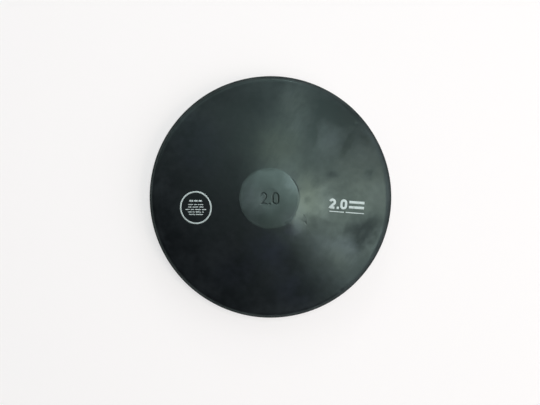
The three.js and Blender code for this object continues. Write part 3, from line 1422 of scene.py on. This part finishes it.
def steel(name, clean, scaled):
    """Metal with patches of scale."""
    finish, tree, shader = new_finish(name)
    where = add(tree, "ShaderNodeTexCoord").outputs["Object"]
    clouds = cloud(tree, where, scale_size, detail=fine_detail)
    scale = between(tree, clouds, scale_from, scale_to)
    roughness = between(tree, scale, 0, 1, clean_roughness, scaled_roughness)
    tree.links.new(blend_colour(tree, scale, clean, scaled), shader.inputs["Base Color"])
    tree.links.new(roughness, shader.inputs["Roughness"])
    shader.inputs["Metallic"].default_value = 1
    return finish


plate_steel = steel("plate_steel", (0.27, 0.28, 0.3), (0.12, 0.1, 0.09))
washer_steel = steel("washer_steel", (0.5, 0.5, 0.49), (0.4, 0.4, 0.38))

# %% [markdown]
# ## Handing out the finishes
#
# A mesh keeps a list of material slots. The new pieces start with an empty list and the
# solids with the part's plain colours, so each list is emptied and gets its one finish.

# %% Each piece gets its finish
finishes = (
    ((upper_body, lower_body, ramp_piece), body_rubber),
    ((upper_plug, lower_plug, upper_bead, lower_bead), hub_rubber),
    ((ring_print, weight_print), ink),
    ((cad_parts["core_plate"],), plate_steel),
    ((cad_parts["upper_trim_washer"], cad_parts["lower_trim_washer"]), washer_steel),
)
for pieces, finish in finishes:
    for piece in pieces:
        piece.data.materials.clear()
        piece.data.materials.append(finish)
    print(f"{finish.name} on", ", ".join(piece.name for piece in pieces))

# %% [markdown]
# ## A pale stage
#
# A product is photographed on a sweep: a floor that curves up into a low wall, so that no
# edge shows behind it. It is matt and nearly white. A share of what the camera and the
# reflections see of it is its own even white, which keeps the distance from going grey; the
# other share is lit as usual and keeps the shadow. Light that the stage throws on the
# discus comes from the lit share only.

# %% The stage, turned from a profile
stage_radius = 3.0
stage_bend = 0.5
stage_columns = 96
floor_rings = (0.25, 1.2)
bend_rings = 10
wall_height = 0.8
own_white = 0.65
paint = (0.93, 0.93, 0.93, 1)
print(f"stage {2 * (stage_radius + stage_bend):.0f} m across with a wall of {wall_height} m")


def stage_profile():
    """Radius and height of the sweep, from the middle to the top of its wall."""
    bend = [
        (stage_radius + stage_bend * math.sin(a), stage_bend * (1 - math.cos(a)))
        for a in np.linspace(0, math.pi / 2, bend_rings)
    ]
    return [(ring, 0) for ring in floor_rings] + bend + [(stage_radius + stage_bend, wall_height)]


def white_matt():
    """Matt white paint, part of which is its own even white to the camera and to mirrors."""
    finish, tree, shader = new_finish("stage_paint")
    tree.nodes.remove(shader)
    rays = add(tree, "ShaderNodeLightPath")
    seen = maths(tree, "MAXIMUM", rays.outputs["Is Camera Ray"], rays.outputs["Is Glossy Ray"])
    seen = maths(tree, "MAXIMUM", seen, rays.outputs["Is Transmission Ray"])
    lit = add(tree, "ShaderNodeBsdfDiffuse", {"Color": paint})
    even = add(tree, "ShaderNodeEmission", {"Color": (1, 1, 1, 1), "Strength": 1.0})
    share = times(tree, seen, own_white)
    mixed = add(tree, "ShaderNodeMixShader", {0: share, 1: lit.outputs[0], 2: even.outputs[0]})
    tree.links.new(mixed.outputs[0], tree.nodes["Material Output"].inputs["Surface"])
    return finish


# %% The sweep
def sweep():
    """The stage as one surface."""
    shell = bmesh.new()
    middle = shell.verts.new((0, 0, 0))
    turns = np.arange(stage_columns) * 2 * math.pi / stage_columns
    rows = [
        [shell.verts.new((radius * math.cos(a), radius * math.sin(a), height)) for a in turns]
        for radius, height in stage_profile()
    ]
    for i in range(stage_columns):
        j = (i + 1) % stage_columns
        shell.faces.new((middle, rows[0][i], rows[0][j]))
        for low, high in zip(rows, rows[1:]):
            shell.faces.new((low[i], high[i], high[j], low[j])).smooth = True
    stage = new_piece("stage", shell)
    stage.data.materials.append(white_matt())


sweep()

# %% [markdown]
# ## The camera
#
# The photograph looks almost straight down. How far it leans shows in how the hub sits
# inside the outline: a hair down and left of its middle. From 1.2 m away, a lean of a little
# over three degrees puts it there. The camera could track an empty, but a placement worked
# out from lean, heading and distance has nothing in it that could drift, and the lamps use
# the same function.

# %% Where it looks from
view_distance = 1.2
view_lean = math.radians(3.24)
view_heading = math.radians(58.9)
aim = Vector((-0.14 * MM, -4.62 * MM, parting_height))
outline_width, picture_width = 241.6, 540


def looking(back, distance, target):
    """A placement that looks at the target along -back, with +Y up in the picture."""
    right = Vector((0, 1, 0)).cross(back).normalized()
    up = back.cross(right)
    turn = Matrix((right, up, back)).transposed().to_4x4()
    return Matrix.Translation(target + back * distance) @ turn


def direction(lean, heading):
    """The direction that leans from straight up towards a heading in the plan."""
    across = math.sin(lean)
    return Vector((across * math.cos(heading), across * math.sin(heading), math.cos(lean)))


# %% The camera in its place
lens = bpy.data.cameras.new("camera")
camera = bpy.data.objects.new("camera", lens)
bpy.context.scene.collection.objects.link(camera)
camera.matrix_world = looking(direction(view_lean, view_heading), view_distance, aim)
outline_share = outline_width / picture_width
lens.lens = lens.sensor_width * view_distance * outline_share / (2 * outer_radius)
bpy.context.scene.camera = camera
print(f"lens {lens.lens:.1f} mm")

# %% [markdown]
# ## The lamps
#
# Black rubber is nearly all reflection. The taper leans outward all the way round, so each
# heading reflects its own part of the room, about 23 degrees off the vertical, and the flat
# hub reflects what hangs above it. The photograph is bright to the right of the hub, fair at
# the top and nearly black at the lower left. So a long key light hangs to the right and a
# small one nearly overhead, a dim wide one fills the top, and large dim ones stand low round
# the right and the top, where only the rim looks, with a small bright one for a glint on it.
# The key is a little warm and those at the right are slightly rosy. A picture of a studio
# would light it too, but not so simply. A lamp's power is worked out from how bright its
# face is to be, which is what shows.

# %% Soft boxes
# Lean off the vertical and heading in degrees, distance, width and height in metres,
# brightness of the face, and tint
warm_light, even_light, rosy_light = (1.16, 1.0, 0.88), (1.0, 1.0, 1.0), (1.08, 1.0, 1.02)
soft_boxes = {
    "key": (21.5, -9, 1.3, 0.25, 0.34, 11.0, warm_light),
    "top": (9, 60, 1.3, 0.22, 0.22, 27.8, even_light),
    "over": (28, 70, 1.5, 0.9, 0.5, 0.5, even_light),
    "window": (54, 8, 1.6, 1.3, 1.5, 1.5, rosy_light),
    "right": (36, -34, 1.5, 0.6, 0.6, 2.4, rosy_light),
    "low_right": (62, -42, 1.6, 0.9, 0.6, 1.4, rosy_light),
    "side": (54, 85, 1.6, 1.5, 1.3, 1.0, even_light),
    "glint": (61, 85, 1.6, 0.2, 0.2, 12, even_light),
    "far_side": (50, 140, 1.6, 0.9, 0.9, 0.83, even_light),
}
room_light = (0.01, 0.01, 0.01, 1)


def soft_box(name, lean, heading, distance, width, height, radiance, tint):
    """A soft lamp that faces the discus."""
    lamp = bpy.data.lights.new(name, "AREA")
    lamp.shape = "RECTANGLE"
    lamp.size, lamp.size_y = width, height
    lamp.energy = radiance * math.pi * width * height
    lamp.color = tint
    made = bpy.data.objects.new(name, lamp)
    bpy.context.scene.collection.objects.link(made)
    back = direction(math.radians(lean), math.radians(heading))
    made.matrix_world = looking(back, distance, Vector((0, 0, parting_height)))


for name, setting in soft_boxes.items():
    soft_box(name, *setting)
print(f"{len(soft_boxes)} lamps")

world = bpy.data.worlds.new("dim_room")
bpy.context.scene.world = world
world.use_nodes = True
world.node_tree.nodes["Background"].inputs["Color"].default_value = room_light

# %% [markdown]
# ## Finish
#
# The plain view setting shows every colour as it was written.

# %% Finish
bpy.context.scene.view_settings.view_transform = "Standard"
